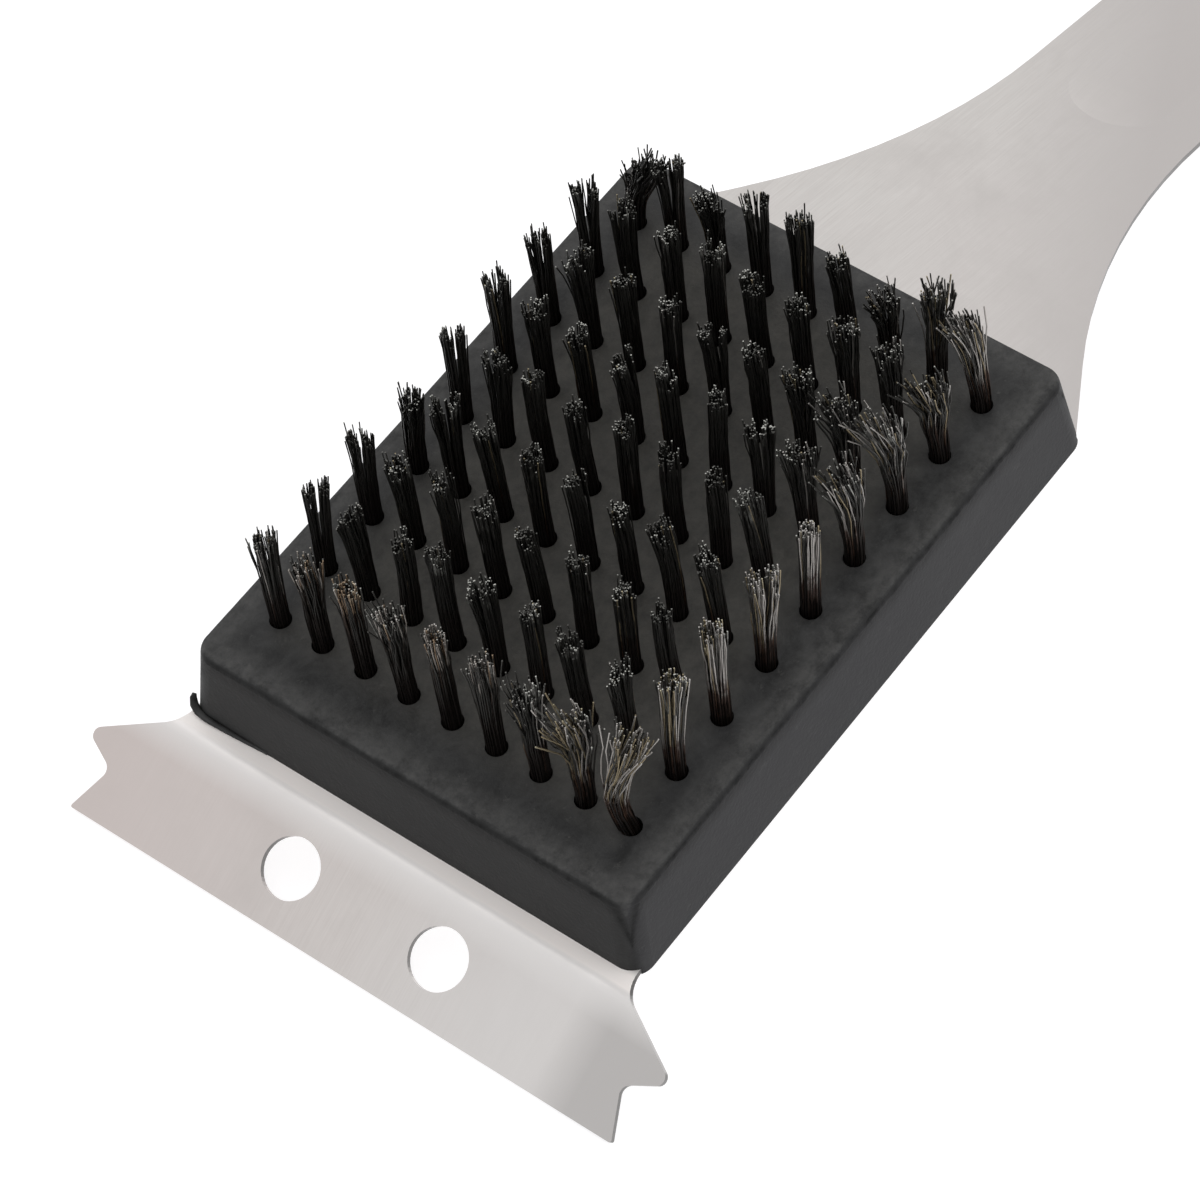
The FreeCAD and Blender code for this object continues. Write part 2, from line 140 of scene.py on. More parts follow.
# Soft lights: name, place from the head in metres, width, height and watts
SOFT_BOXES = (
    ("overhead", (-0.62, -0.32, 1.4), 0.9, 0.9, 0.5),
    ("behind", (-0.65, 0.39, 1.35), 0.9, 0.9, 1.8),
    ("right", (1.5, 0.6, 0.6), 1.0, 0.7, 5.0),
)
SURROUND_STRENGTH = 0.9
FLOOR_SIDE = 8.0

# Camera, in the head frame
CAMERA_AZIMUTH = 44.415
CAMERA_ELEVATION = 55.489
CAMERA_ROLL = -9.286
CAMERA_DISTANCE = 649.93 * MM
CAMERA_AIM = Vector((-1.69, -7.29, 0)) * MM
CAMERA_LENS = 144.9
CAMERA_SENSOR = 36
CAMERA_NEAR = 0.05
CAMERA_FAR = 50


# ---- the head frame, from the rows of tufts ----

def middle_of(node):
    """Middle of a node's box."""
    low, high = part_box(node)
    return (low + high) / 2


def head_frame():
    """Matrix from the head frame to the model's frame."""
    first = middle_of("tuft_row_1")
    last = middle_of(f"tuft_row_{ROWS}")
    across = Vector((1, 0, 0))
    along = (last - first).normalized()
    up = across.cross(along)
    origin = (first + last) / 2 - up * TUFT_MIDDLE_H
    turn = Matrix((across, along, up)).transposed().to_4x4()
    return Matrix.Translation(origin) @ turn


HEAD = head_frame()
HEAD_ALONG = HEAD.col[1].xyz
HEAD_UP = HEAD.col[2].xyz
HEAD_TILT = math.atan2(HEAD_ALONG.z, HEAD_ALONG.y)


# ---- materials ----

class Finish:
    """A material with one Principled shader, and short ways to add its patterns."""

    def __init__(self, name, colour, metallic, roughness, specular=0.5):
        self.material = bpy.data.materials.new(name)
        self.material.use_nodes = True
        self.tree = self.material.node_tree
        self.shader = self.tree.nodes["Principled BSDF"]
        self.shader.inputs["Base Color"].default_value = (*colour, 1)
        self.shader.inputs["Metallic"].default_value = metallic
        self.shader.inputs["Roughness"].default_value = roughness
        self.shader.inputs["Specular IOR Level"].default_value = specular
        place = self.add("ShaderNodeTexCoord")
        level = self.add("ShaderNodeMapping")
        level.inputs["Rotation"].default_value = (-HEAD_TILT, 0, 0)
        level.inputs["Location"].default_value = Matrix.Rotation(-HEAD_TILT, 3, "X") @ -HEAD.translation
        self.link(place.outputs["Object"], level.inputs["Vector"])
        self.place = level.outputs["Vector"]

    def add(self, kind):
        return self.tree.nodes.new(kind)

    def link(self, source, target):
        self.tree.links.new(source, target)

    def axis(self, which):
        """One coordinate in the head frame."""
        node = self.add("ShaderNodeSeparateXYZ")
        self.link(self.place, node.inputs["Vector"])
        return node.outputs[which]

    def facing(self, direction):
        """How far the true surface faces along a direction, from -1 to 1."""
        normal = self.add("ShaderNodeNewGeometry")
        node = self.add("ShaderNodeVectorMath")
        node.operation = "DOT_PRODUCT"
        self.link(normal.outputs["True Normal"], node.inputs[0])
        node.inputs[1].default_value = direction
        return node.outputs["Value"]

    def noise(self, scale, detail=3.0, roughness=0.55, distortion=0.0):
        """Noise of scale waves per metre along X, Y and Z of the head frame."""
        stretched = self.add("ShaderNodeMapping")
        stretched.inputs["Scale"].default_value = scale
        self.link(self.place, stretched.inputs["Vector"])
        node = self.add("ShaderNodeTexNoise")
        node.inputs["Scale"].default_value = 1.0
        node.inputs["Detail"].default_value = detail
        node.inputs["Roughness"].default_value = roughness
        node.inputs["Distortion"].default_value = distortion
        self.link(stretched.outputs["Vector"], node.inputs["Vector"])
        return node.outputs["Fac"]

    def spread(self, value, low, high, out_low, out_high):
        """value from low..high mapped to out_low..out_high, and held at the ends."""
        node = self.add("ShaderNodeMapRange")
        node.inputs["From Min"].default_value = low
        node.inputs["From Max"].default_value = high
        node.inputs["To Min"].default_value = out_low
        node.inputs["To Max"].default_value = out_high
        self.link(value, node.inputs["Value"])
        return node.outputs["Result"]

    def maths(self, kind, *values):
        """A Math node of the given kind on one or two values, each a socket or a number."""
        node = self.add("ShaderNodeMath")
        node.operation = kind
        for slot, value in zip(node.inputs, values):
            if isinstance(value, (int, float)):
                slot.default_value = value
            else:
                self.link(value, slot)
        return node.outputs["Value"]

    def times(self, first, second):
        return self.maths("MULTIPLY", first, second)

    def plus(self, first, second):
        return self.maths("ADD", first, second)

    def size_of(self, value):
        return self.maths("ABSOLUTE", value)

    def blend(self, share, first, second):
        """Colour from first to second as share goes from 0 to 1; each is a colour or a socket."""
        node = self.add("ShaderNodeMix")
        node.data_type = "RGBA"
        colours = [slot for slot in node.inputs if slot.type == "RGBA"]
        for slot, value in zip(colours, (first, second)):
            if isinstance(value, tuple):
                slot.default_value = (*value, 1)
            else:
                self.link(value, slot)
        self.link(share, node.inputs["Factor"])
        return [slot for slot in node.outputs if slot.type == "RGBA"][0]

    def colour(self, value):
        self.link(value, self.shader.inputs["Base Color"])

    def roughness(self, value):
        self.link(value, self.shader.inputs["Roughness"])

    def relief(self, height, depth, strength=1.0):
        """Adds bumps of a depth in metres over those already there."""
        node = self.add("ShaderNodeBump")
        node.inputs["Strength"].default_value = strength
        node.inputs["Distance"].default_value = depth
        self.link(height, node.inputs["Height"])
        there = self.shader.inputs["Normal"].links
        if there:
            self.link(there[0].from_socket, node.inputs["Normal"])
        self.link(node.outputs["Normal"], self.shader.inputs["Normal"])


def band_before_block(f, start, full, most):
    """Share of a band across the sheet, from start to full in millimetres before the block's front."""
    along = f.axis("Y")
    band = f.spread(along, BLOCK_FRONT - start * MM, BLOCK_FRONT - full * MM, 0, most)
    return f.times(band, f.spread(along, BLOCK_FRONT, BLOCK_FRONT + 2 * MM, 1, 0))


def scraper_painted_light(f, tone):
    """A tone with painted light and shade over the scraper: a warm painted reflection on the left, painted
    light on the right, painted shade at the ear.
    """
    across = f.axis("X")
    front = f.spread(f.axis("Y"), BLOCK_FRONT, BLOCK_FRONT + 10 * MM, 1, 0)
    for start, end, at_start, at_end, colour in SCRAPER_PAINTED_LIGHT:
        share = f.times(front, f.spread(across, start * MM, end * MM, at_start, at_end))
        tone = f.blend(share, tone, colour)
    return tone


def painted_tail_shade(f):
    """Share of the painted shade on the corner of the sheet behind the block on the right."""
    place = f.plus(f.axis("X"), f.times(f.axis("Y"), 0.5))
    return f.spread(place, 40 * MM, 65 * MM, 0, 0.95)


def brushed_sheet():
    """Satin stainless sheet, brushed along the brush, with faint handling marks; painted shade on the
    sideways-facing cut edges, painted light and shade across the scraper and its far corner, and painted
    highlight bands before the block.
    """
    f = Finish("brushed_stainless_sheet", (0.6, 0.575, 0.555), 1.0, 0.36)
    lines = f.noise((5200, 110, 110), 4.0, 0.7)
    broad = f.noise((14, 11, 14), 2.0)
    smudge = f.noise((60, 45, 60), 5.0, 0.65, 0.4)
    speck = f.noise((420, 300, 420), 4.0, 0.75)
    # Painted highlight: a near-white strip along the bend before the block, made rougher too.
    highlight_strip = band_before_block(f, *PAINTED_HIGHLIGHT_STRIP)
    tone = f.blend(f.spread(lines, 0.3, 0.7, 0, 1), (0.595, 0.567, 0.547), (0.685, 0.662, 0.642))
    tone = f.blend(f.spread(broad, 0.38, 0.66, 0, 0.5), tone, (0.62, 0.572, 0.56))
    tone = f.blend(f.spread(smudge, 0.46, 0.72, 0, 0.5), tone, (0.53, 0.507, 0.492))
    tone = f.blend(f.spread(speck, 0.68, 0.76, 0, 0.3), tone, (0.4, 0.385, 0.37))
    # Painted reflection, light and shade across the scraper.
    tone = scraper_painted_light(f, tone)
    # Painted shade on the corner of the sheet behind the block.
    tone = f.blend(painted_tail_shade(f), tone, (0.545, 0.515, 0.503))
    # Painted glow: a lighter band on the sheet before the block.
    tone = f.blend(band_before_block(f, *PAINTED_GLOW_BAND), tone, (0.75, 0.73, 0.72))
    tone = f.blend(highlight_strip, tone, (0.98, 0.955, 0.94))
    # Painted shade: the cut edges and hole walls that face sideways are painted dark.
    edge = f.spread(f.size_of(f.facing((1, 0, 0))), 0.45, 0.8, 0, 1)
    f.colour(f.blend(edge, tone, (0.2, 0.195, 0.19)))
    rough = f.spread(smudge, 0.35, 0.7, 0.32, 0.46)
    rough = f.plus(rough, f.spread(lines, 0.3, 0.7, -0.03, 0.04))
    f.roughness(f.plus(rough, f.times(highlight_strip, 0.5)))
    f.relief(lines, 0.01 * MM, 0.5)
    return f.material


def inside_rim(f):
    """Distances in from the block's top edges across and along it, less than nothing on its sides."""
    across = f.maths("SUBTRACT", BLOCK_W / 2 - BLOCK_INSET, f.size_of(f.axis("X")))
    along = f.maths("SUBTRACT", BLOCK_L / 2 - BLOCK_INSET, f.size_of(f.axis("Y")))
    return across, along


def beside_rim(f, rim, mottle):
    """Share of the lighter band just inside the rim."""
    wobble = f.spread(mottle, 0.3, 0.7, -0.5 * MM, 0.5 * MM)
    starts = f.spread(f.plus(rim, wobble), 0.4 * MM, 1 * MM, 0, 1)
    return f.times(starts, f.spread(rim, 2 * MM, 5 * MM, 1, 0))


def rim_line(f, across, along, rim):
    """Share of the dark line on the rim and down the corners."""
    on_rim = f.times(f.spread(rim, -0.4 * MM, -0.1 * MM, 0, 1), f.spread(rim, 0.1 * MM, 0.5 * MM, 1, 0))
    corner = f.spread(f.maths("MAXIMUM", across, along), -0.6 * MM, 0.4 * MM, 1, 0)
    return f.maths("MAXIMUM", on_rim, corner)


def moulded_block():
    """Matt black plastic, mottled and dusty, with a fine dark line round its rim and a lighter band inside
    it, a lighter olive film between the tufts that is partly painted light, and painted shade on its front,
    back and sides.
    """
    f = Finish("moulded_block_plastic", (0.02, 0.02, 0.02), 0.0, 0.6, 0.16)
    mottle = f.noise((260, 220, 260), 6.0, 0.74, 0.3)
    cloud = f.noise((42, 34, 42), 3.0, 0.6)
    spark = f.noise((1700, 1700, 1700), 3.0, 0.6)
    dust = f.noise((760, 560, 760), 3.0, 0.8)
    blotches = f.noise((520, 420, 520), 4.0, 0.75)
    across, along = inside_rim(f)
    rim = f.maths("MINIMUM", across, along)
    tone = f.blend(f.spread(mottle, 0.34, 0.68, 0, 1), (0.0185, 0.0185, 0.0185), (0.06, 0.06, 0.0595))
    tone = f.blend(f.spread(cloud, 0.35, 0.7, 0, 0.5), tone, (0.025, 0.025, 0.026))
    # Lighter olive film between the tufts: partly real streaks, partly painted light against the shade the
    # tufts cast.
    film_and_painted_light = f.times(f.spread(rim, 6 * MM, 13 * MM, 0, 1), f.spread(blotches, 0.3, 0.65, 0.35, 0.8))
    tone = f.blend(film_and_painted_light, tone, (0.094, 0.09, 0.081))
    tone = f.blend(f.spread(dust, 0.62, 0.78, 0, 0.5), tone, (0.095, 0.093, 0.088))
    # Painted shade: the faces towards the front and back are painted darker.
    front = f.spread(f.size_of(f.facing(HEAD_ALONG)), 0.5, 0.9, 0, 0.7)
    tone = f.blend(front, tone, (0.0125, 0.0125, 0.0125))
    # Painted shade: the side faces are painted darker and bluish.
    side_shade = f.spread(f.size_of(f.facing((1, 0, 0))), 0.5, 0.9, 0, 0.5)
    tone = f.blend(side_shade, tone, (0.017, 0.0165, 0.0195))
    # A lighter band just inside the rim, in patches.
    pale_band = f.times(beside_rim(f, rim, mottle), f.spread(blotches, 0.35, 0.65, 0.15, 0.7))
    tone = f.blend(pale_band, tone, (0.085, 0.084, 0.082))
    dark = f.times(rim_line(f, across, along, rim), f.spread(blotches, 0.35, 0.65, 0.85, 0.5))
    f.colour(f.blend(dark, tone, (0.003, 0.003, 0.003)))
    rough = f.spread(mottle, 0.3, 0.7, 0.5, 0.68)
    f.roughness(f.maths("MAXIMUM", rough, f.spread(dark, 0, 1, 0, 0.95)))
    f.relief(spark, 0.07 * MM, 0.8)
    f.relief(mottle, 0.2 * MM, 0.5)
    return f.material


def moulded_grip():
    """Black grip plastic with a finer, softer texture and a little more sheen."""
    f = Finish("moulded_grip_plastic", (0.012, 0.012, 0.013), 0.0, 0.45, 0.45)
    mottle = f.noise((120, 60, 120), 4.0, 0.6)
    spark = f.noise((2400, 2400, 2400), 2.0, 0.5)
    f.colour(f.blend(f.spread(mottle, 0.35, 0.7, 0, 1), (0.009, 0.009, 0.0095), (0.017, 0.017, 0.018)))
    f.roughness(f.spread(mottle, 0.3, 0.7, 0.36, 0.5))
    f.relief(spark, 0.04 * MM, 0.6)
    return f.material


def bristle(name, metallic, roughness, root, stained, bare, worn, bare_from=BARE_FROM):
    """Bristle wire: dark at the root, stained, then bare, and worn pale near some tips and cut ends."""
    f = Finish(name, bare, metallic, roughness)
    flecks = f.noise((900, 900, 420), 3.0, 0.7)
    patch = f.noise((430, 430, 150), 3.0, 0.65)
    height = f.plus(f.axis("Z"), f.spread(flecks, 0.3, 0.7, -3 * MM, 3 * MM))

    def above(start, run):
        """Share that grows over run from start, both in millimetres above the block."""
        return f.spread(height, BLOCK_H + start * MM, BLOCK_H + (start + run) * MM, 0, 1)

    tone = f.blend(above(bare_from - STAIN_BELOW_BARE, STAIN_RUN), root, stained)
    tone = f.blend(above(bare_from, BARE_RUN), tone, bare)
    tone = f.blend(f.spread(flecks, 0.5, 0.75, 0, 0.5), tone, root)
    tip = f.times(above(WORN_FROM, WORN_RUN), f.spread(patch, 0.5, 0.62, 0, 0.55))
    tone = f.blend(tip, tone, worn)
    cut_end = f.spread(f.facing(HEAD_UP), 0.7, 0.85, 0, 1)
    f.colour(f.blend(f.times(cut_end, f.spread(patch, 0.5, 0.6, 0.14, 1)), tone, worn))
    f.roughness(f.spread(flecks, 0.3, 0.7, roughness - 0.08, roughness + 0.12))
    f.relief(flecks, 0.03 * MM, 0.5)
    return f.material


def turned_steel(name, colour, roughness):
    """Satin fastener or wire steel with fine marks and a few duller patches."""
    f = Finish(name, colour, 1.0, roughness)
    marks = f.noise((2600, 2600, 2600), 3.0, 0.7)
    dull = f.noise((180, 180, 180), 3.0)
    darker = tuple(0.72 * part for part in colour)
    f.colour(f.blend(f.spread(dull, 0.4, 0.7, 0, 1), colour, darker))
    rough = f.spread(dull, 0.35, 0.7, roughness - 0.06, roughness + 0.12)
    f.roughness(f.plus(rough, f.spread(marks, 0.3, 0.7, -0.03, 0.05)))
    f.relief(marks, 0.01 * MM, 0.5)
    return f.material


def pale_floor():
    """Pale light-table top with the faintest variation, lit a little from below."""
    f = Finish("pale_table", (0.5, 0.5, 0.505), 0.0, 0.8, 0.1)
    cloud = f.noise((3, 3, 3), 2.0)
    f.colour(f.blend(f.spread(cloud, 0.3, 0.7, 0, 1), (0.49, 0.49, 0.495), (0.52, 0.52, 0.52)))
    f.shader.inputs["Emission Color"].default_value = (0.99, 0.99, 1.0, 1)
    f.shader.inputs["Emission Strength"].default_value = 0.68
    f.material.cycles.emission_sampling = "NONE"
    return f.material


SHEET = brushed_sheet()
BLOCK = moulded_block()
GRIP = moulded_grip()
FASTENER = turned_steel("satin_fastener_steel", (0.56, 0.55, 0.54), 0.3)
STAPLE = turned_steel("drawn_staple_wire", (0.42, 0.41, 0.39), 0.38)
RING = turned_steel("polished_ring_wire", (0.66, 0.66, 0.65), 0.16)

# Wire finishes, and the place of each in the list
BLACK, TAN, BARE, TAN_TIPPED, PALE_TIPPED = range(5)
WIRES = (
    bristle(
        "black_oiled_bristle", metallic=0.6, roughness=0.42,
        root=(0.012, 0.009, 0.008), stained=(0.019, 0.015, 0.013),
        bare=(0.031, 0.03, 0.027), worn=(0.44, 0.44, 0.41)),
    bristle(
        "tan_bristle", metallic=0.85, roughness=0.42,
        root=(0.015, 0.009, 0.007), stained=(0.075, 0.042, 0.028),
        bare=(0.26, 0.215, 0.14), worn=(0.42, 0.39, 0.28)),
    bristle(
        "bare_steel_bristle", metallic=0.9, roughness=0.38,
        root=(0.016, 0.011, 0.009), stained=(0.085, 0.058, 0.048),
        bare=(0.36, 0.34, 0.32), worn=(0.5, 0.48, 0.46)),
    bristle(
        "tan_tipped_bristle", metallic=0.8, roughness=0.42, bare_from=BARE_FROM_IF_TIPPED,
        root=(0.013, 0.009, 0.007), stained=(0.034, 0.023, 0.017),
        bare=(0.23, 0.162, 0.108), worn=(0.42, 0.36, 0.27)),
    bristle(
        "pale_tipped_bristle", metallic=0.85, roughness=0.4, bare_from=BARE_FROM_IF_TIPPED,
        root=(0.013, 0.01, 0.008), stained=(0.03, 0.024, 0.02),
        bare=(0.3, 0.275, 0.25), worn=(0.5, 0.48, 0.46)),
)


def paint(piece, material):
    """Gives a piece one material."""
    piece.data.materials.clear()
    piece.data.materials.append(material)


# ---- tufts of wire ----

# Direction across the head from its front left corner to its back right corner
DIAGONAL = Vector((0.714, 0.7))

# Tufts shaped by use, by row and column: height as a share of the usual, looseness, lean of the tips and
# push of the middle along the diagonal in millimetres, gap between the halves in millimetres, and the shares
# of bare and of tan wires. The high shares of bare and tan wires in the right column and the front row are
# partly real wire colour and partly painted light, where the light from the right falls on the outer tufts
SHAPED = {
    (0, 0): (0.97, 0.4, 0.4, 0.0, 0.32, 0.05, 0.02),
    (0, 1): (0.96, 0.65, 0.0, 0.0, 0.2, 0.45, 0.08),
    (0, 2): (1.0, 0.5, 0.0, 0.0, 0.1, 0.06, 0.5),
    (0, 3): (0.99, 0.95, -0.3, 0.0, 0.2, 0.2, 0.06),
    (0, 4): (1.02, 0.4, 0.0, 0.0, 0.1, 0.3, 0.25),
    (0, 5): (1.02, 0.5, 0.0, 0.0, 0.1, 0.42, 0.08),
    (0, 6): (1.0, 0.85, -0.2, 0.0, 0.3, 0.14, 0.06),
    (0, 7): (1.03, 1.2, -0.2, 0.2, 0.6, 0.32, 0.28),
    (0, 8): (1.06, 1.1, 2.2, -1.9, 0.35, 0.4, 0.42),
    (1, 8): (1.1, 0.55, 1.2, -0.2, 0.2, 0.24, 0.38),
    (2, 8): (1.05, 0.45, 0.3, 0.0, 0.1, 0.52, 0.22),
    (3, 8): (1.0, 0.6, 0.8, 0.0, 0.6, 0.55, 0.2),
    (4, 8): (0.96, 0.2, 0.8, 0.0, -0.1, 0.68, 0.12),
    (5, 8): (1.0, 1.0, -0.9, 0.4, 0.4, 0.24, 0.1),
    (6, 8): (1.02, 1.15, -1.8, 0.5, 0.7, 0.32, 0.08),
    (7, 8): (0.84, 1.1, -1.1, 0.2, 0.5, 0.12, 0.18),
    (8, 8): (0.98, 0.85, -2.2, 0.2, 0.4, 0.38, 0.16),
    (5, 7): (0.97, 0.6, -0.4, 0.0, 0.2, 0.08, 0.04),
    (6, 7): (0.95, 0.95, -1.0, 0.0, 0.4, 0.18, 0.05),
    (7, 7): (0.92, 0.7, -0.4, 0.0, 0.2, 0.08, 0.06),
    (7, 6): (0.92, 0.6, 0.2, 0.0, 0.2, 0.05, 0.04),
    (6, 6): (0.97, 0.65, -0.4, 0.0, 0.2, 0.04, 0.03),
    (1, 0): (0.97, 0.15, 1.0, 0.0, -0.4, 0.0, 0.0),
    (2, 0): (0.95, 0.4, 0.4, 0.0, 0.34, 0.02, 0.0),
    (3, 0): (0.84, 0.6, 1.2, 0.0, 0.1, 0.03, 0.0),
    (4, 0): (0.97, 0.2, 0.9, 0.1, 0.38, 0.0, 0.02),
    (5, 0): (0.99, 0.3, 0.5, 0.1, 0.36, 0.0, 0.03),
    (6, 0): (0.94, 0.35, 0.2, 0.0, 0.25, 0.03, 0.0),
    (7, 0): (0.92, 0.35, 0.4, 0.0, -0.4, 0.02, 0.0),
    (8, 0): (0.66, 1.1, 2.6, -0.4, 0.3, 0.06, 0.02),
    (8, 1): (0.86, 0.45, 0.2, 0.0, 0.5, 0.02, 0.02),
    (8, 2): (0.77, 0.6, -0.6, 0.0, 0.3, 0.02, 0.02),
    (8, 3): (1.0, 0.45, 0.2, 0.0, 0.5, 0.06, 0.02),
    (8, 4): (1.06, 0.45, 0.3, 0.0, -0.2, 0.04, 0.03),
    (8, 5): (0.88, 0.35, -0.8, 0.0, 0.1, 0.02, 0.02),
    (8, 6): (0.7, 0.85, -0.9, 0.0, 0.3, 0.16, 0.05),
    (8, 7): (1.05, 0.8, 0.5, 0.0, 0.4, 0.14, 0.12),
}

# Tufts of the front row whose bare and tan wires are bare only near the tips
TIPPED = {(0, 1), (0, 2), (0, 3), (0, 4), (0, 5)}


def scatter(dice):
    """A random step across the tuft, of about one unit."""
    return Vector((dice.gauss(0, 1), dice.gauss(0, 1)))


def at_angle(turn):
    """Direction across the tuft at an angle."""
    return Vector((math.cos(turn), math.sin(turn)))


def loosened(tight_and_more, looseness):
    """Value for a tight tuft plus what the looseness adds."""
    tight, more = tight_and_more
    return tight + more * looseness


class Tuft:
    """One folded bundle of wires: how it leans, bends, parts and clumps."""

    def __init__(self, dice, row, column):
        self.height = dice.uniform(*PLAIN_HEIGHT)
        self.loose = dice.uniform(*PLAIN_LOOSE)
        self.lean = scatter(dice) * PLAIN_LEAN * MM
        self.knee = scatter(dice) * PLAIN_KNEE * MM
        self.gap = max(0.0, dice.gauss(*PLAIN_GAP)) * MM
        self.bare = PLAIN_BARE
        self.tan = PLAIN_TAN
        self.phase = dice.uniform(0, 2 * math.pi)
        self.parting = at_angle(dice.uniform(0, 2 * math.pi))
        self.tipped = (row, column) in TIPPED
        if (row, column) in SHAPED:
            self.height, self.loose, lean, knee, gap, self.bare, self.tan = SHAPED[row, column]
            self.lean = DIAGONAL * lean * MM
            self.knee = DIAGONAL * knee * MM
            self.gap = gap * MM
            self.parting = DIAGONAL
        self.clumps = [
            (scatter(dice) * CLUMP_SPREAD * ROOT_R, dice.gauss(0, CLUMP_LENGTH) * MM) for _ in range(CLUMPS)
        ]

    def finish(self, draw):
        """Place in WIRES of the finish that a random draw from 0 to 1 picks."""
        if draw < self.bare:
            return PALE_TIPPED if self.tipped else BARE
        if draw < self.bare + self.tan:
            return TAN_TIPPED if self.tipped else TAN
        return BLACK

    def wire(self, dice, index):
        """Points of one wire in the tuft's own frame, from inside the hole to its cut end."""
        loose = self.loose
        share = math.sqrt((index + 0.5) / WIRE_ENDS)
        outward = at_angle(index * GOLDEN_TURN + self.phase)
        root = outward * ROOT_R * share
        clump, taller = min(self.clumps, key=lambda c: (c[0] - root).length)
        splay = outward * share * dice.uniform(0.0, 1.0) * loosened(SPLAY, loose) * MM
        splay += (clump - root) * CLUMP_PULL
        splay += self.parting * math.copysign(self.gap, root.dot(self.parting))
        curl = scatter(dice) * loosened(CURL, loose ** 2) * MM
        if dice.random() < loosened(STRAGGLERS, loose):
            curl *= STRAGGLER_CURL
        length = self.height * FREE_H + taller * loosened(CLUMP_STEP, loose)
        length += dice.gauss(0, loosened(LENGTH_STEP, loose)) * MM
        length = min(length, LONGEST_H)
        sway = dice.uniform(0, 2 * math.pi)
        wave_side = at_angle(sway) * loosened(WAVE, loose ** 2) * MM
        points = []
        for step in range(WIRE_POINTS):
            t = step / (WIRE_POINTS - 1)
            kink = scatter(dice) * loosened(KINK, loose) * MM
            wave = wave_side * math.sin(WAVE_RADIANS * t + sway)
            bend = self.lean * t ** LEAN_POWER + self.knee * math.sin(math.pi * t)
            hook = curl * t ** 3
            flat = root + bend + splay * t * t + hook + (kink + wave) * t
            drop = hook.length * CURL_DROP
            points.append(Vector((flat.x, flat.y, t * (length + ROOT_SINK) - ROOT_SINK - drop)))
        return points


def round_curve(name, radius, roundness):
    """Empty curve whose splines get a round section and closed ends."""
    curve = bpy.data.curves.new(name, "CURVE")
    curve.dimensions = "3D"
    curve.bevel_depth = radius
    curve.bevel_resolution = roundness
    curve.use_fill_caps = True
    return curve


def run_through(curve, places):
    """Adds a spline through places in the head frame."""
    spline = curve.splines.new("POLY")
    spline.points.add(len(places) - 1)
    for point, place in zip(spline.points, places):
        point.co = (*(HEAD @ place), 1)
    spline.use_smooth = True
    return spline


def solid_from(curve, name):
    """The curve's solid as a mesh piece that rides with the brush."""
    holder = bpy.data.objects.new(name, curve)
    bpy.context.scene.collection.objects.link(holder)
    bpy.context.view_layer.update()
    solid = holder.evaluated_get(bpy.context.evaluated_depsgraph_get())
    mesh = bpy.data.meshes.new_from_object(solid)
    bpy.data.objects.remove(holder)
    piece = bpy.data.objects.new(name, mesh)
    bpy.context.scene.collection.objects.link(piece)
    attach(piece, "brush")
    return piece


def tuft_row(row):
    """One row of tufts: every wire a thin round rod with a cut end."""
    node = f"tuft_row_{row + 1}"
    low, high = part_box(node)
    along = (HEAD.inverted() @ middle_of(node)).y
    pitch = (high.x - low.x - 2 * TUFT_R) / (COLUMNS - 1)
    dice = random.Random(FIRST_SEED + row)
    curve = round_curve(f"wires_{row + 1}", WIRE_R, 0)
    for material in WIRES:
        curve.materials.append(material)
    for column in range(COLUMNS):
        tuft = Tuft(dice, row, column)
        base = Vector(((column - (COLUMNS - 1) / 2) * pitch, along, BLOCK_H))
        for index in range(WIRE_ENDS):
            finish = tuft.finish(dice.random())
            path = [base + point for point in tuft.wire(dice, index)]
            run_through(curve, path).material_index = finish
    piece = solid_from(curve, f"tuft_wires_row_{row + 1}")
    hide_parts(node)


def moulding_flash():
    """Thin lip of plastic left along the foot of the block's front left corner."""
    curve = round_curve("block_flash", MM, 2)
    spline = run_through(curve, [Vector((x, y, z)) * MM for x, y, z, _ in FLASH])
    for point, (_, _, _, half_thickness) in zip(spline.points, FLASH):
        point.radius = half_thickness
    paint(solid_from(curve, "block_flash"), BLOCK)


for row in range(ROWS):
    tuft_row(row)
    paint(nodes[f"staple_row_{row + 1}"], STAPLE)

moulding_flash()

for node, material, slot in (
    ("blade", SHEET, "stainless_sheet"),
    ("brush_block", BLOCK, "block_plastic"),
    ("grip_top", GRIP, "grip_plastic"),
    ("grip_bottom", GRIP, "grip_plastic"),
    ("block_screws", FASTENER, "fastener_steel"),
    ("grip_rivets", FASTENER, "fastener_steel"),
    ("hanging_ring", RING, "ring_steel"),
):
    paint(nodes[node], material)


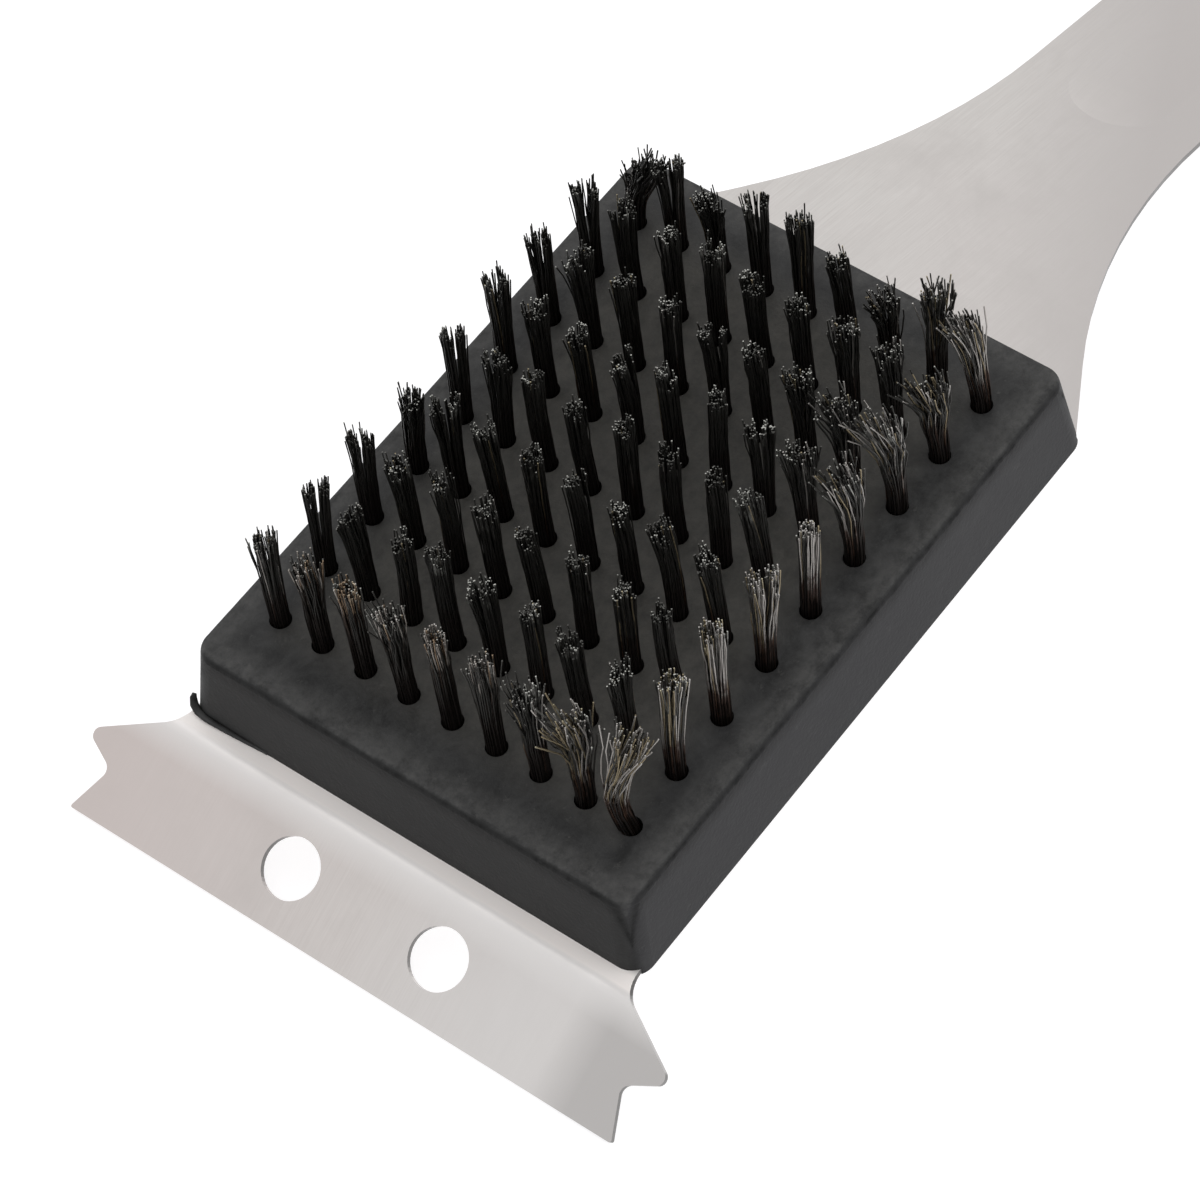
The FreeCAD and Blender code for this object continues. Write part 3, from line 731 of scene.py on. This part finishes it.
# ---- floor, light and camera ----

def table_top():
    """Wide pale floor under the brush."""
    bpy.ops.mesh.primitive_plane_add(size=FLOOR_SIDE, location=(0, 0, 0))
    floor = bpy.context.object
    floor.name = "table_top"
    floor.data.materials.append(pale_floor())


def soft_box(name, offset, width, height, watts):
    """Large soft light at an offset from the head, turned to it."""
    light = bpy.data.lights.new(name, "AREA")
    light.shape = "RECTANGLE"
    light.size = width
    light.size_y = height
    light.energy = watts
    lamp = bpy.data.objects.new(name, light)
    lamp.location = HEAD.translation + Vector(offset)
    lamp.rotation_euler = (-Vector(offset)).to_track_quat("-Z", "Y").to_euler()
    bpy.context.scene.collection.objects.link(lamp)


def studio():
    """Even white surroundings, with two large lights up on the left and one low on the right."""
    world = bpy.data.worlds.new("studio")
    bpy.context.scene.world = world
    world.use_nodes = True
    surround = world.node_tree.nodes["Background"]
    surround.inputs["Color"].default_value = (1, 1, 1, 1)
    surround.inputs["Strength"].default_value = SURROUND_STRENGTH
    for box in SOFT_BOXES:
        soft_box(*box)
    bpy.context.scene.view_settings.view_transform = "Standard"


def camera():
    """Long lens above the front right corner of the head."""
    azimuth = math.radians(CAMERA_AZIMUTH)
    elevation = math.radians(CAMERA_ELEVATION)
    back = Vector((
        math.sin(azimuth) * math.cos(elevation),
        -math.cos(azimuth) * math.cos(elevation),
        math.sin(elevation),
    ))
    level = Vector((math.cos(azimuth), math.sin(azimuth), 0))
    turn = Matrix((level, back.cross(level), back)).transposed().to_4x4()
    roll = Matrix.Rotation(math.radians(CAMERA_ROLL), 4, "Z")
    data = bpy.data.cameras.new("camera")
    data.lens = CAMERA_LENS
    data.sensor_width = CAMERA_SENSOR
    data.clip_start = CAMERA_NEAR
    data.clip_end = CAMERA_FAR
    view = bpy.data.objects.new("camera", data)
    bpy.context.scene.collection.objects.link(view)
    view.matrix_world = HEAD @ Matrix.Translation(CAMERA_AIM + back * CAMERA_DISTANCE) @ turn @ roll
    bpy.context.scene.camera = view


table_top()
studio()
camera()
